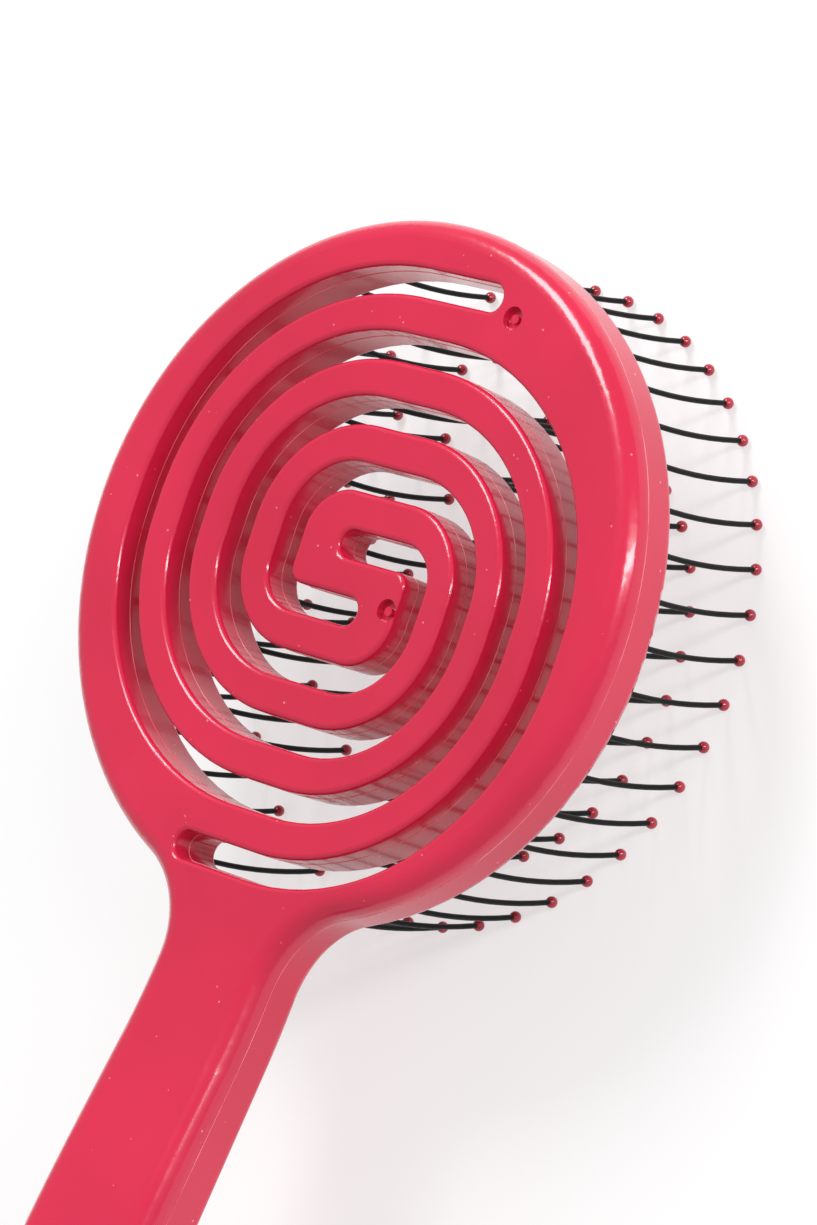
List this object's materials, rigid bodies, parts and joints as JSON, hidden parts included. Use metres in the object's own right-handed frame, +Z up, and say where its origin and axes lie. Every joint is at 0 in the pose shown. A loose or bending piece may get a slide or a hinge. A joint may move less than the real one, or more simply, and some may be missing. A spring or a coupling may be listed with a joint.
{
  "type": "vented hairbrush",
  "caption": "Hand-held vented hairbrush: round head cut through by a double-spiral slot, swept pins with ball tips on its front face, flat gently bowed handle.",
  "frame": {"origin": "bottom centre of the whole brush's box, with the brush standing on its ball tips, its head level and its handle clear of the table", "axes": "+Z up from the table, +Y along the brush from handle to head, +X to the right seen from above the back of the head"},
  "size_m": [0.1, 0.2366, 0.0488],
  "materials": {
    "shell": "glossy moulded crimson plastic",
    "pins": "near-black with a slight sheen, taken to be nylon",
    "tips": "glossy red ball tips"
  },
  "bodies": {
    "root": {"back_shell": "shell", "front_shell": "shell", "rim_pins": "pins", "rim_ball_tips": "tips", "centre_pins": "pins", "centre_ball_tips": "tips", "first_bar_inner_pins": "pins", "first_bar_inner_ball_tips": "tips", "first_bar_outer_pins": "pins", "first_bar_outer_ball_tips": "tips", "second_bar_inner_pins": "pins", "second_bar_inner_ball_tips": "tips", "second_bar_outer_pins": "pins", "second_bar_outer_ball_tips": "tips"}
  },
  "joints": []
}
